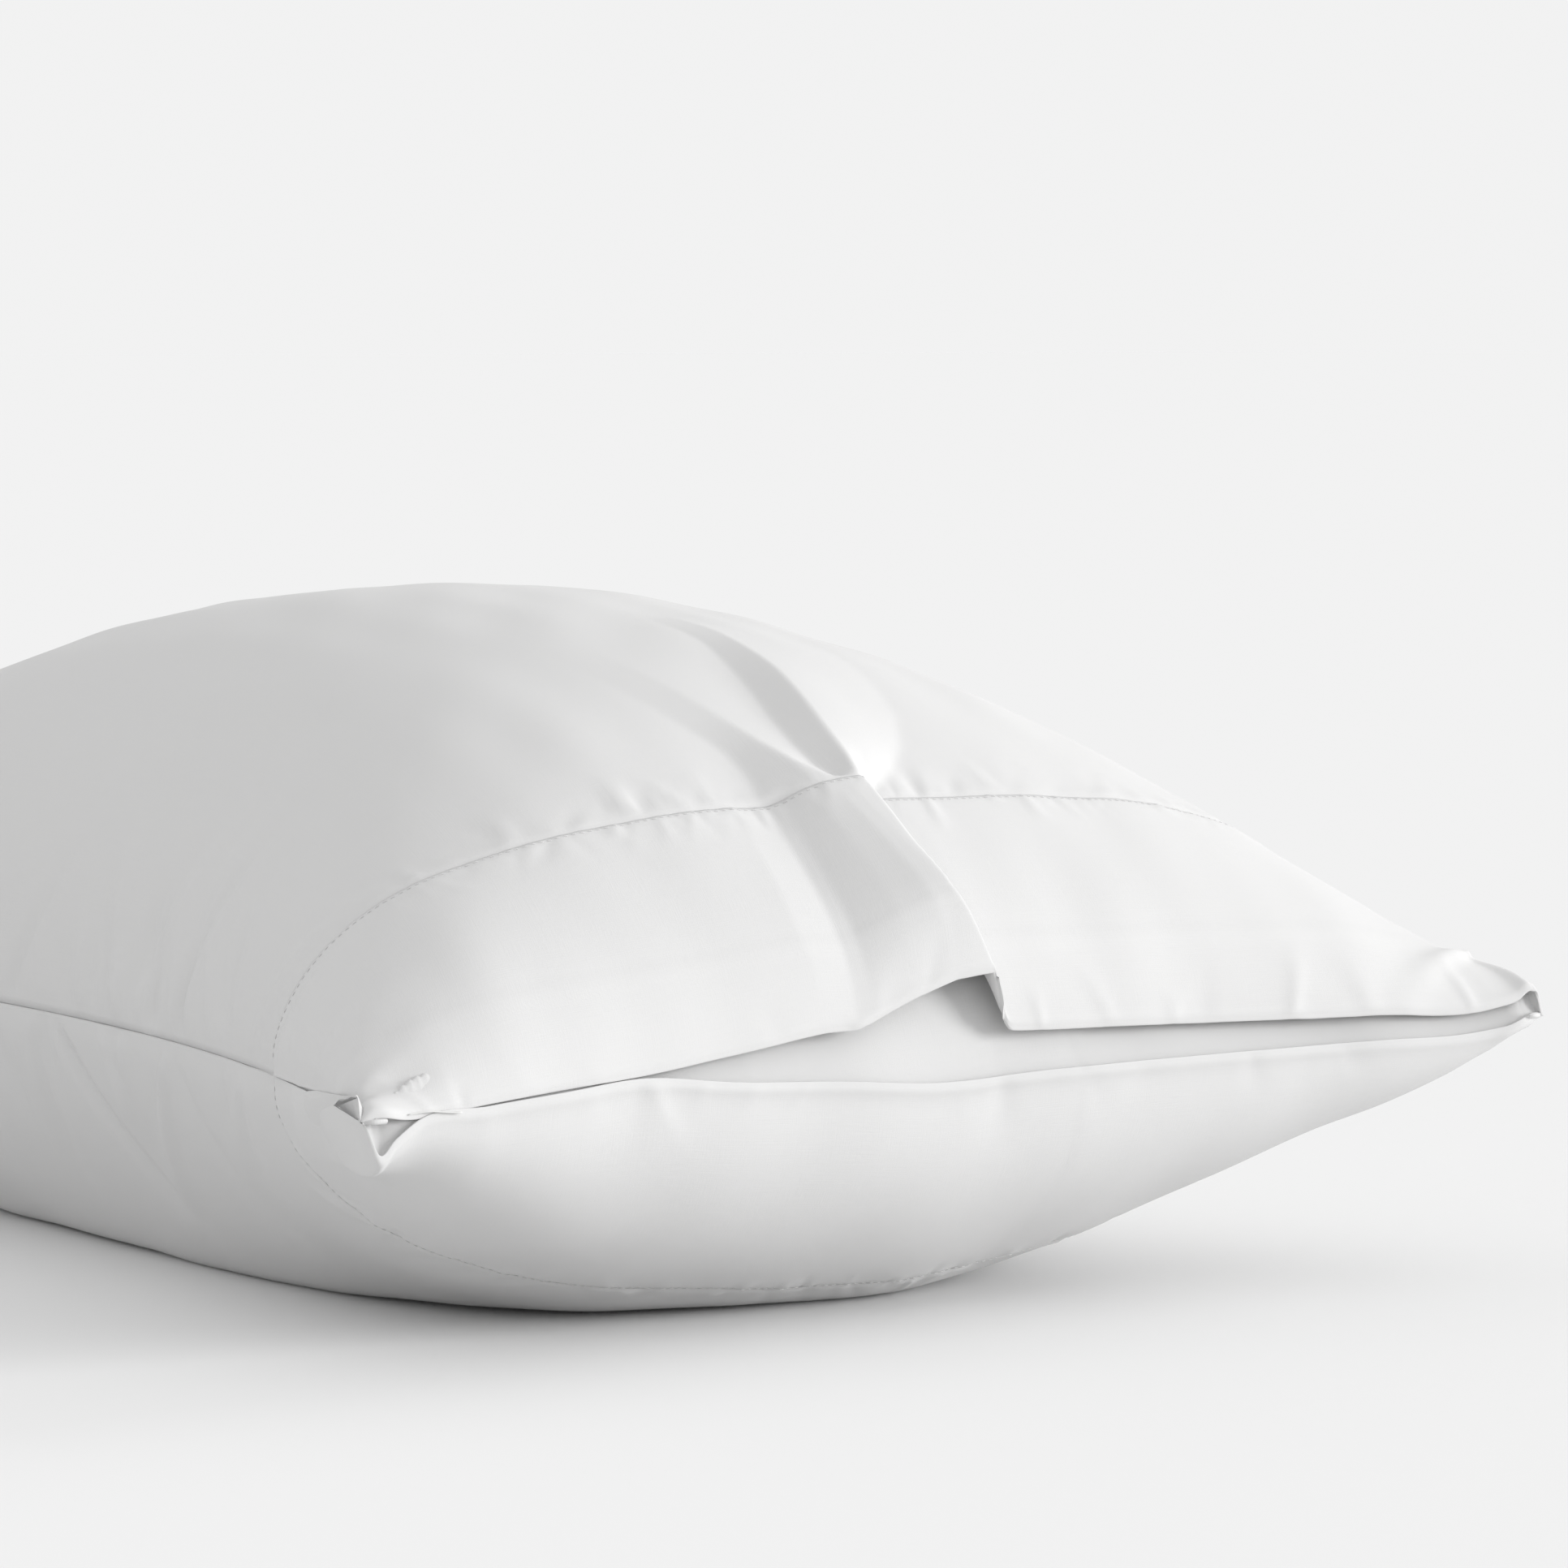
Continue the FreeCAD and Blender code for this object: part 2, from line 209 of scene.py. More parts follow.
SEAM_LEVEL = 0.09285                    # seam line at the middle of the pillow
NEAR_CORNER, FAR_CORNER = 0.08785, 0.09385
SIDE_WAIST = 0.195                      # half width of the case at its waist
LIP_BOW = 0.011
ALLOWANCE = 0.008                       # seam allowance turned to the inside
ALLOWANCE_THICKNESS = 0.0018
CASE_RISE = 0.0021                      # seam line to the outside of the hem
PANEL_RISE = 0.0014                     # seam line to the outside of a single panel
CONTACT_SOFTNESS = 0.006
CROWN_ABOVE = LOFT - SEAM_LEVEL - CASE_RISE
CROWN_BELOW = 0.1405
NEAR_FULLNESS, FAR_FULLNESS = 2.5, 1.6   # how squarely the underside fills out to each side
CROWN_SLACK = 0.009                     # case crown over the insert's crown
INSERT_INSET = 0.014
PLEAT_SOFTNESS, CREASE_SOFTNESS = 0.0022, 0.0016    # rounding of the folds' corners
PANEL_ROWS, HEM_ROWS = 190, 66
PANEL_COLUMNS, HEM_COLUMNS = 230, 420
UNDER_HEM = 0.0035                      # the panel's edge runs on under the hem
TUCK = 0.00045                          # and sits this much lower there
LABEL_PLY = 0.0003
TICKING_PLY = 0.0005
TICKING_PUCKER = 0.0018
TALLEST_PUCKER = 0.003
PIPING_RADIUS = 0.0018
WADDING_DEPTH = 0.0022                  # outside of the ticking to the wadding


def side_line(x):
    """Half width of the case at its side seams."""
    along = np.clip(np.abs(x) / HALF_LENGTH, 0, 1)
    return HALF_WIDTH - (HALF_WIDTH - SIDE_WAIST) * (1 - along**2)


def seam_height(x, y):
    """Height of the seam line, which dips or lifts towards the corners."""
    along = np.clip(np.abs(x) / HALF_LENGTH, 0, 1)
    across = np.clip(y / side_line(x), -1, 1)
    corner = np.where(across < 0, NEAR_CORNER, FAR_CORNER)
    return SEAM_LEVEL + (corner - SEAM_LEVEL) * along**4 * across**2


def crown(place, first, second):
    return np.clip(1 - np.abs(place) ** first, 0, None) ** second


def flattened(height):
    """A height that settles smoothly onto the surface instead of passing through it."""
    soft = CONTACT_SOFTNESS
    return np.where(height > soft, height, np.clip(height + soft, 0, None) ** 2 / (4 * soft))


def unit(v):
    return v / np.maximum(np.linalg.norm(v, axis=-1, keepdims=True), 1e-12)


def smooth(x, low, high):
    t = np.clip((x - low) / (high - low), 0, 1)
    return t * t * (3 - 2 * t)


def bump(distance, width):
    return np.exp(-((distance / width) ** 2))


def run_along(points, axis=0):
    """Running distance along a line of points, or along one axis of a grid of them."""
    steps = np.linalg.norm(np.diff(points, axis=axis), axis=-1)
    start = np.zeros_like(np.take(steps, [0], axis=axis))
    return np.concatenate([start, np.cumsum(steps, axis=axis)], axis=axis)


def through(points, x):
    """A smooth line through a few (place, value) points."""
    px, py = np.array(points).T
    slope = np.gradient(py, px)
    k = np.clip(np.searchsorted(px, x) - 1, 0, len(px) - 2)
    span = px[k + 1] - px[k]
    t = np.clip((x - px[k]) / span, 0, 1)
    start = (1 + 2 * t) * (1 - t) ** 2 * py[k] + t * (1 - t) ** 2 * span * slope[k]
    return start + t * t * (3 - 2 * t) * py[k + 1] + t * t * (t - 1) * span * slope[k + 1]


class Form:
    """The skin of a stuffed bag, addressed by two angles from -90 to 90 degrees."""

    def __init__(self, closed_x, mouth_x, inset, above, below, rise, floor):
        self.middle, self.half = (closed_x + mouth_x) / 2, (mouth_x - closed_x) / 2
        self.inset, self.above, self.below = inset, above, below
        self.rise, self.floor = rise, floor

    def point(self, a, b, side):
        """Points above (side 1) or below (side -1) the seam line."""
        along, across = np.sin(a), np.sin(b)
        bow = LIP_BOW * (1 - across**2) * np.clip(along, 0, None) ** 2
        x = self.middle + along * self.half - bow
        y = across * (side_line(x) - self.inset)
        if side > 0:
            lift = self.above * crown(along, 2.4, 0.62) * crown(across, 2.2, 0.5)
        else:
            fullness = np.where(across < 0, NEAR_FULLNESS, FAR_FULLNESS)
            lift = self.below * crown(along, 1.54, 0.41) * crown(across, fullness, 0.6)
        z = seam_height(x, y) + side * (self.rise + lift)
        if side < 0:
            z = self.floor + flattened(z - self.floor)
        return np.stack(np.broadcast_arrays(x, y, z), -1)

    def normals(self, a, b, side):
        """Outward normals, read a little inside the edges, where they are well defined."""
        limit, step = QUARTER - 0.05, 1e-3
        a, b = np.clip(a, -limit, limit), np.clip(b, -limit, limit)
        along = self.point(a + step, b, side) - self.point(a - step, b, side)
        across = self.point(a, b + step, side) - self.point(a, b - step, side)
        return unit(np.cross(along, across) * side)


CASE = Form(-HALF_LENGTH, HALF_LENGTH, 0, CROWN_ABOVE, CROWN_BELOW, PANEL_RISE, 0)
INSERT = Form(
    INSERT_LOW[0], INSERT_HIGH[0], INSERT_INSET,
    CROWN_ABOVE - CROWN_SLACK, CROWN_BELOW - CROWN_SLACK, 0.0009, 0.0018,
)


def columns_across(count):
    """Angles across the pillow, closer together over the pleat."""
    fine = np.linspace(-QUARTER, QUARTER, 4001)
    place = np.sin(fine) * HALF_WIDTH
    weight = 1 + 1.6 * bump(place + 0.012, 0.055) + 2.2 * bump(place - 0.013, 0.012)
    total = np.concatenate([[0], np.cumsum((weight[1:] + weight[:-1]) / 2)])
    return np.interp(np.linspace(0, total[-1], count), total, fine)


def grid_normals(grid, side):
    """Outward normals of a grid whose rows run from the closed end towards the lip."""
    return unit(np.cross(np.gradient(grid, axis=0), np.gradient(grid, axis=1)) * side)


class Cloth:
    """Finds the angle along the pillow for a distance along the cloth from the lip."""

    ROWS, COLUMNS = 900, 241

    def __init__(self, form, side):
        self.angles = np.linspace(QUARTER, -QUARTER, self.ROWS)
        self.across = np.linspace(-QUARTER, QUARTER, self.COLUMNS)
        grid = form.point(self.angles[:, None], self.across[None, :], side)
        self.depth = run_along(grid)

    def length(self, b):
        """Cloth length from lip to closed end at angles across b."""
        return np.interp(b, self.across, self.depth[-1])

    def angle_at(self, depth, b):
        out = np.empty(depth.shape)
        place = (b + QUARTER) / np.pi * (self.COLUMNS - 1)
        for j, p in enumerate(place):
            k = min(int(p), self.COLUMNS - 2)
            column = self.depth[:, k] * (1 - (p - k)) + self.depth[:, k + 1] * (p - k)
            out[:, j] = np.interp(depth[:, j], column, self.angles)
        return out


# The lips at the mouth: place across the mouth, height over the line between its corners.
UPPER_LIP = (
    (-0.243, 0.0000), (-0.222, -0.0028), (-0.208, -0.0020), (-0.194, -0.0012), (-0.162, 0.0005),
    (-0.133, 0.0020), (-0.097, 0.0057), (-0.044, 0.0113), (0.023, 0.0061), (0.063, 0.0052),
    (0.104, 0.0042), (0.172, 0.0025), (0.222, 0.0021), (0.232, 0.0044), (0.238, 0.0079),
    (0.2415, 0.0060), (0.243, 0.0000),
)
LOWER_LIP = (
    (-0.243, 0.0000), (-0.2395, -0.0045), (-0.236, -0.0096), (-0.230, -0.0053), (-0.222, -0.0006),
    (-0.194, 0.0014), (-0.162, 0.0031), (-0.133, 0.0043), (-0.097, 0.0002), (-0.048, -0.0032),
    (-0.015, -0.0058), (0.035, -0.0043), (0.104, -0.0034), (0.172, -0.0028), (0.225, -0.0007),
    (0.238, 0.0027), (0.243, 0.0000),
)

# The pleat in the upper hem. For a few distances from the lip: places across, then heights.
TENT = (
    (0.000, (-0.058, -0.046, -0.040, -0.022, -0.005, 0.006, 0.0115, 0.0140, 0.0165),
     (0, -0.0010, 0.0008, 0.0092, 0.0164, 0.0188, 0.0198, 0.0050, 0)),
    (0.040, (-0.060, -0.044, -0.038, -0.023, -0.011, -0.005, -0.0015, 0.0012, 0.0040),
     (0, -0.0022, -0.0008, 0.0082, 0.0144, 0.0162, 0.0170, 0.0050, 0)),
    (0.070, (-0.058, -0.043, -0.038, -0.025, -0.015, -0.010, -0.0055, -0.0025, 0.0005),
     (0, -0.0022, -0.0006, 0.0072, 0.0124, 0.0139, 0.0146, 0.0050, 0)),
    (0.106, (-0.056, -0.042, -0.037, -0.028, -0.020, -0.014, -0.0060, -0.0028, 0.0010),
     (0, -0.0008, 0.0006, 0.0060, 0.0092, 0.0108, 0.0118, 0.0052, 0)),
)
# Beyond the hem the pleat parts into two creases with a groove between them.
CREASES = (
    (0.106, (-0.044, -0.0165, -0.0120, -0.0064, 0.002), (0, 0.0102, 0.0098, 0.0120, 0)),
    (0.113, (-0.042, -0.0200, -0.0130, -0.0055, 0.007), (0, 0.0088, 0.0062, 0.0114, 0)),
    (0.121, (-0.040, -0.0240, -0.0145, -0.0043, 0.018), (0, 0.0072, 0.0044, 0.0105, 0)),
    (0.137, (-0.040, -0.0280, -0.0140, -0.0020, 0.032), (0, 0.0046, 0.0030, 0.0092, 0)),
    (0.158, (-0.046, -0.0320, -0.0110, 0.0015, 0.042), (0, 0.0027, 0.0016, 0.0076, 0)),
    (0.190, (-0.054, -0.0380, -0.0050, 0.0070, 0.050), (0, 0.0013, 0.0006, 0.0053, 0)),
    (0.220, (-0.058, -0.0420, 0.0000, 0.0100, 0.056), (0, 0.0005, 0.0002, 0.0032, 0)),
    (0.275, (-0.060, -0.0440, 0.0040, 0.0150, 0.060), (0, 0, 0, 0, 0)),
)


def folded(table, depth, y, softness):
    """Height of a fold whose section across changes along the cloth, with rounded corners."""
    depths = [row[0] for row in table]
    places = [np.interp(depth, depths, column) for column in zip(*[row[1] for row in table])]
    heights = [np.interp(depth, depths, column) for column in zip(*[row[2] for row in table])]
    total = np.zeros(np.broadcast(depth, y).shape)
    shares = np.linspace(-1, 1, 7)
    weights = (1 - (shares * 0.9) ** 2) ** 2
    for share, weight in zip(shares, weights / weights.sum()):
        at = y + share * softness
        section = heights[0] * np.ones_like(total)
        for k in range(len(places) - 1):
            step = np.clip((at - places[k]) / (places[k + 1] - places[k]), 0, 1)
            section = section + step * (heights[k + 1] - heights[k])
        total += weight * section
    return total


def drag_wrinkles(rng, count, length, reach, width, height):
    """Random ridges that leave a seam: place along it, lean, reach, width, height."""
    return np.stack(
        [
            rng.uniform(0.0, length, count),
            rng.normal(0, 0.35, count),
            rng.uniform(*reach, count),
            rng.uniform(*width, count),
            rng.normal(0, 0.55, count) * height,
        ],
        1,
    )


def add_drag(total, along, off, wrinkles):
    """Adds to a lift the ridges that leave the seam at off = 0."""
    for place, lean, reach, width, height in wrinkles:
        near = (np.abs(along - place - lean * off) < 4 * width) & (off < reach) & (off > -0.001)
        if not near.any():
            continue
        o, s = off[near], along[near]
        fade = smooth(o, -0.001, 0.12 * reach) * (1 - smooth(o / reach, 0.25, 1))
        total[near] += height * fade * bump(s - place - lean * o, width * (0.55 + 0.9 * o / reach))


def ripple(x, y, rng, waves, shortest, longest):
    """Low swells: a sum of a few plane waves."""
    total = np.zeros(np.broadcast(x, y).shape)
    for _ in range(waves):
        way, length = rng.uniform(0, np.pi), rng.uniform(shortest, longest)
        phase = rng.uniform(0, 2 * np.pi)
        total += np.sin((x * np.cos(way) + y * np.sin(way)) * 2 * np.pi / length + phase)
    return total / np.sqrt(waves)


def mouth_place(grid):
    """Place across the mouth for points of the cloth."""
    return grid[..., 1] * HALF_WIDTH / side_line(grid[..., 0])


class CaseSide:
    """The upper or lower cloth of the pillowcase with its folds, wrinkles and puckers."""

    def __init__(self, side, sizes):
        self.side, self.sizes = side, sizes
        self.cloth = Cloth(CASE, side)
        rng = np.random.default_rng(SEED + (side > 0))
        size, pucker = sizes.wrinkle_height, sizes.pucker_height
        run = 2 * HALF_LENGTH
        self.near = drag_wrinkles(rng, 70, run, (0.03, 0.13), (0.003, 0.010), size)
        self.far = drag_wrinkles(rng, 60, run, (0.03, 0.11), (0.003, 0.010), size)
        self.beyond_hem = drag_wrinkles(rng, 130, 0.5, (0.008, 0.034), (0.0016, 0.0042), pucker * 1.5)
        self.before_hem = drag_wrinkles(rng, 110, 0.5, (0.006, 0.026), (0.0016, 0.0040), pucker)
        self.lip_puckers = drag_wrinkles(rng, 30, 0.5, (0.008, 0.036), (0.0028, 0.0080), pucker * 1.2)
        self.swell_seed = int(rng.integers(1 << 30))

    def surface(self, depth, b):
        """Points of the outer face at cloth depths (rows x columns) and angles across."""
        a = self.cloth.angle_at(depth, b)
        base = CASE.point(a, b[None, :], self.side)
        normal = CASE.normals(a, b[None, :], self.side)
        place = mouth_place(base)
        near = run_along(base, axis=1)
        far = near[:, -1:] - near
        closed = self.cloth.length(b)[None, :] - depth
        out = base + normal * self.lift(depth, base, near, far)[..., None]
        hem = self.sizes.hem_depth
        doubled = 1 - smooth(depth, hem - 0.004, hem + 0.010)
        out[..., 2] += self.side * doubled * (CASE_RISE - PANEL_RISE)
        rolled = bump(np.minimum(np.minimum(near, far), closed), 0.0042)
        out[..., 2] -= self.side * rolled * (PANEL_RISE + doubled * (CASE_RISE - PANEL_RISE)) * 0.93
        out -= base * rolled[..., None] * [0.0, 0.0036, 0.0]
        near_lip = bump(depth, 0.055)
        if self.side > 0:
            upright = 1 - smooth(depth, 0.005, 0.075)
            way = unit(normal * (1 - upright[..., None]) + np.array([0, 0, 1]) * upright[..., None])
            out += way * self.pleat(depth, base[..., 1])[..., None]
            out[..., 2] += through(UPPER_LIP, place) * near_lip
        else:
            out[..., 2] += through(LOWER_LIP, place) * near_lip
            flare = 0.0014 * bump(depth, 0.005) * np.cos(b)[None, :] ** 0.5
            out[..., 0] += flare
            out[..., 2] = np.maximum(out[..., 2], 0.0)
        return out

    def pleat(self, depth, y):
        """The tent in the hem, which parts into two creases beyond the hem's seam."""
        scale = self.sizes.pleat_height / max(TENT[0][2])
        hem = self.sizes.hem_depth
        split = smooth(depth, hem - 0.0005, hem + 0.004)
        tent = folded(TENT, depth, y, PLEAT_SOFTNESS)
        creases = folded(CREASES, depth, y, CREASE_SOFTNESS)
        return scale * (tent * (1 - split) + creases * split)

    def lift(self, depth, base, near, far):
        """Height of all small folds over the smooth shape."""
        x, y = base[..., 0], base[..., 1]
        total = np.zeros(depth.shape)
        add_drag(total, x + HALF_LENGTH, near, self.near)
        add_drag(total, x + HALF_LENGTH, far, self.far)
        hem = self.sizes.hem_depth
        add_drag(total, y + HALF_WIDTH, depth - hem, self.beyond_hem)
        add_drag(total, y + HALF_WIDTH, hem - depth, self.before_hem)
        add_drag(total, y + HALF_WIDTH, depth, self.lip_puckers)
        rng = np.random.default_rng(self.swell_seed)
        edge = smooth(np.minimum(near, far), 0, 0.08)
        total += 0.0009 * edge * ripple(x, y, rng, 9, 0.10, 0.30)
        total += 0.00028 * edge * ripple(x, y, rng, 12, 0.03, 0.08)
        return total - 0.0005 * bump(depth - hem, 0.0022)


def mouth_gap(place):
    """How far the upper lip stands over the lower one."""
    tent = folded(TENT, np.zeros_like(place), place, PLEAT_SOFTNESS)
    return through(UPPER_LIP, place) + tent - through(LOWER_LIP, place)


# ---------------------------------------------------------------- meshes


def mesh_object(name, verts, faces, uv=None):
    mesh = bpy.data.meshes.new(name)
    mesh.from_pydata(verts.tolist(), [], faces)
    mesh.update()
    if uv is not None:
        layer = mesh.uv_layers.new(name="cloth")
        loops = np.empty(len(mesh.loops), dtype=np.int64)
        mesh.loops.foreach_get("vertex_index", loops)
        layer.data.foreach_set("uv", uv[loops].astype(np.float32).ravel())
    mesh.shade_smooth()
    obj = bpy.data.objects.new(name, mesh)
    bpy.context.scene.collection.objects.link(obj)
    return obj


def grid_faces(rows, columns, start=0, flip=False, wrap=False):
    faces = []
    for i in range(rows if wrap else rows - 1):
        a, c = start + i * columns, start + ((i + 1) % rows) * columns
        for j in range(columns - 1):
            quad = (a + j, a + j + 1, c + j + 1, c + j)
            faces.append(quad[::-1] if flip else quad)
    return faces


def closed_piece(name, first, second, uv, flip=False):
    """A closed piece between two grids of the same size, with a rim joining their edges."""
    rows, columns = first.shape[:2]
    count = rows * columns
    verts = np.concatenate([first.reshape(-1, 3), second.reshape(-1, 3)])
    faces = grid_faces(rows, columns, 0, flip) + grid_faces(rows, columns, count, not flip)
    rim = [i * columns for i in range(rows)]
    rim += [(rows - 1) * columns + j for j in range(1, columns)]
    rim += [i * columns + columns - 1 for i in range(rows - 2, -1, -1)]
    rim += list(range(columns - 2, 0, -1))
    for v, w in zip(rim, rim[1:] + rim[:1]):
        quad = (v, w, w + count, v + count)
        faces.append(quad[::-1] if flip else quad)
    flat = uv.reshape(-1, 2)
    return mesh_object(name, verts, faces, np.concatenate([flat, flat]))


def cloth_uv(grid, depth):
    """Distances on the cloth: across from its middle, and along."""
    steps = np.linalg.norm(np.diff(grid, axis=1), axis=-1).mean(axis=0)
    across = np.concatenate([[0], np.cumsum(steps)])
    across -= across[-1] / 2
    return np.stack(np.broadcast_arrays(across[None, :], depth), -1)


def finish_piece(obj, body, slot, material, *nodes):
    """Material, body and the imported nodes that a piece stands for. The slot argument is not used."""
    obj.data.materials.append(bpy.data.materials[material])
    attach(obj, body)
    if nodes:
        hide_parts(*nodes)
    if body == "case":
        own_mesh(obj)
    return obj


def stitches(name, path, normal, pitch, thread, share=0.74):
    """A row of separate lockstitches along a line of points."""
    run = run_along(path)
    count = int(run[-1] / pitch)
    rings, sides = 6, 6
    along = np.linspace(-0.5, 0.5, rings) * share * pitch
    starts = (np.arange(count) + 0.5) * run[-1] / count
    at = starts[:, None] + along[None, :]
    centre = np.stack([np.interp(at, run, path[:, k]) for k in range(3)], -1)
    up = unit(np.stack([np.interp(at, run, normal[:, k]) for k in range(3)], -1))
    way = unit(np.gradient(centre, axis=1))
    out = np.cross(way, up)
    swell = np.sqrt(np.clip(1 - (np.linspace(-1, 1, rings)) ** 4, 0.04, 1))
    sink = (np.abs(np.linspace(-1, 1, rings)) ** 3) * thread * 0.9
    centre = centre + up * (thread * 0.35 - sink)[None, :, None]
    turn = np.linspace(0, 2 * np.pi, sides, endpoint=False)
    radius = thread / 2 * swell
    verts = (
        centre[:, :, None]
        + up[:, :, None] * (np.cos(turn)[None, None, :, None] * radius[None, :, None, None] * 0.8)
        + out[:, :, None] * (np.sin(turn)[None, None, :, None] * radius[None, :, None, None])
    ).reshape(-1, 3)
    faces = []
    for stitch in range(count):
        first = stitch * rings * sides
        for i in range(rings - 1):
            for k in range(sides):
                a, b = first + i * sides + k, first + i * sides + (k + 1) % sides
                faces.append((a, b, b + sides, a + sides))
        faces.append(tuple(first + k for k in range(sides))[::-1])
        faces.append(tuple(first + (rings - 1) * sides + k for k in range(sides)))
    uv = np.zeros((len(verts), 2))
    uv[:, 0] = np.tile(np.repeat(np.linspace(0, pitch, rings), sides), count)
    uv[:, 1] = np.tile(np.tile(turn / (2 * np.pi) * 0.0013, rings), count)
    return mesh_object(name, verts, faces, uv)


# ---------------------------------------------------------------- materials


class Socket:
    """A number from a node, with the sums that make new Math nodes."""

    def __init__(self, shader, output):
        self.shader, self.output = shader, output

    def _math(self, operation, *values):
        return self.shader.node("ShaderNodeMath", {"operation": operation}, *values)

    def __add__(self, other):
        return self._math("ADD", self, other)

    def __radd__(self, other):
        return self._math("ADD", other, self)

    def __sub__(self, other):
        return self._math("SUBTRACT", self, other)

    def __rsub__(self, other):
        return self._math("SUBTRACT", other, self)

    def __mul__(self, other):
        return self._math("MULTIPLY", self, other)

    def __rmul__(self, other):
        return self._math("MULTIPLY", other, self)

    def sine(self):
        return self._math("SINE", self)


class Shader:
    """A material's node tree."""

    def __init__(self, name):
        self.material = bpy.data.materials.new(name)
        self.material.use_nodes = True
        self.tree = self.material.node_tree
        self.tree.nodes.clear()

    def node(self, kind, settings=None, *values, out=0, **named):
        """A node of a kind: settings first, then values or links for its sockets."""
        made = self.tree.nodes.new(kind)
        for key, value in (settings or {}).items():
            if key == "stops":
                for stop, (place, colour) in zip(made.color_ramp.elements, value):
                    stop.position, stop.color = place, colour
            else:
                setattr(made, key, value)
        for key, value in [*enumerate(values), *named.items()]:
            socket = made.inputs[key] if isinstance(key, int) else self.find(made.inputs, key)
            if isinstance(value, Socket):
                self.tree.links.new(value.output, socket)
            else:
                socket.default_value = value
        return Socket(self, made.outputs[out] if isinstance(out, int) else self.find(made.outputs, out))

    def find(self, sockets, name):
        """A socket by its name, or by its identifier where several share a name."""
        return next(
            found for found in sockets
            if name in (found.identifier, found.name.replace(" ", "_")) and found.enabled
        )

    def mixed(self, share, first, second):
        """A colour between two, by a share from 0 to 1."""
        return self.node(
            "ShaderNodeMix", {"data_type": "RGBA"}, out="Result_Color",
            Factor=share, A_Color=first, B_Color=second,
        )

    def cloth_places(self):
        """Distances along and across the cloth, in metres."""
        uv = self.node("ShaderNodeUVMap", {"uv_map": "cloth"})
        x = self.node("ShaderNodeSeparateXYZ", None, uv, out=0)
        y = self.node("ShaderNodeSeparateXYZ", None, uv, out=1)
        return uv, x, y

    def stretched_noise(self, uv, scale, detail=2.0):
        """Noise on the cloth with its own scale each way."""
        mapped = self.node("ShaderNodeMapping", None, Vector=uv, Scale=scale)
        return self.node(
            "ShaderNodeTexNoise", {"noise_dimensions": "2D"}, Vector=mapped, Scale=1.0, Detail=detail
        )

    def finish(self, base, roughness, normal, **constants):
        out = self.tree.nodes.new("ShaderNodeOutputMaterial")
        bsdf = self.tree.nodes.new("ShaderNodeBsdfPrincipled")
        for key, value in (("Base Color", base), ("Roughness", roughness), ("Normal", normal)):
            if isinstance(value, Socket):
                self.tree.links.new(value.output, bsdf.inputs[key])
            elif value is not None:
                bsdf.inputs[key].default_value = value
        for key, value in constants.items():
            bsdf.inputs[key.replace("_", " ")].default_value = value
        self.tree.links.new(bsdf.outputs[0], out.inputs[0])
        return self.material


def rgba(colour, gain=1.0):
    return (*[min(1.0, c * gain) for c in colour], 1.0)


def woven(name, colour, pitch, relief, slub=0.02, roughness=0.86, sheen=0.06):
    """A plain weave of round threads with slubs, a little fuzz and soft sheen."""
    s = Shader(name)
    uv, along, across = s.cloth_places()
    weave = (along * (2 * np.pi / pitch)).sine() * (across * (2 * np.pi / pitch)).sine()
    warp_slubs = s.stretched_noise(uv, (2600.0, 60.0, 1.0))
    weft_slubs = s.stretched_noise(uv, (60.0, 2600.0, 1.0))
    threads = (warp_slubs + weft_slubs) * 0.5
    blotch = s.stretched_noise(uv, (9.0, 9.0, 1.0), 3.0)
    base = s.mixed(threads * 0.75 + blotch * 0.25, rgba(colour, 1 - slub), rgba(colour, 1 + slub))
    height = weave * 0.35 + threads * 0.9 + blotch * 0.6
    normal = s.node("ShaderNodeBump", None, Strength=relief, Distance=0.00016, Height=height)
    return s.finish(
        base, roughness - 0.06 + threads * 0.12, normal,
        Sheen_Weight=sheen, Sheen_Roughness=0.45, Specular_IOR_Level=0.2,
    )


def spun(name, colour, twist, relief):
    """Thread or fibre: fine slanting plies and a slight change of tone along it."""
    s = Shader(name)
    uv, along, across = s.cloth_places()
    plies = (along * (2 * np.pi / twist) + across * (2 * np.pi / 0.00065)).sine()
    tone = s.stretched_noise(uv, (300.0, 300.0, 1.0))
    base = s.mixed(tone, rgba(colour, 0.97), rgba(colour, 1.03))
    normal = s.node("ShaderNodeBump", None, Strength=relief, Distance=0.00008, Height=plies)
    return s.finish(base, 0.62 + tone * 0.1, normal, Specular_IOR_Level=0.3)


def make_materials(colours, sizes):
    woven("percale", colours.percale, sizes.weave_pitch, 0.5)
    woven("ticking", colours.ticking, sizes.weave_pitch * 1.6, 0.6, slub=0.03)
    woven("label tape", colours.label, 0.0005, 0.5, slub=0.02, roughness=0.6, sheen=0.0)
    woven("piping", colours.ticking, sizes.weave_pitch * 1.3, 0.5)
    woven("fibre", colours.fibre, 0.004, 1.0, slub=0.05, sheen=0.3)
    spun("sewing thread", colours.thread, 0.0006, 0.6)


# ---------------------------------------------------------------- operators


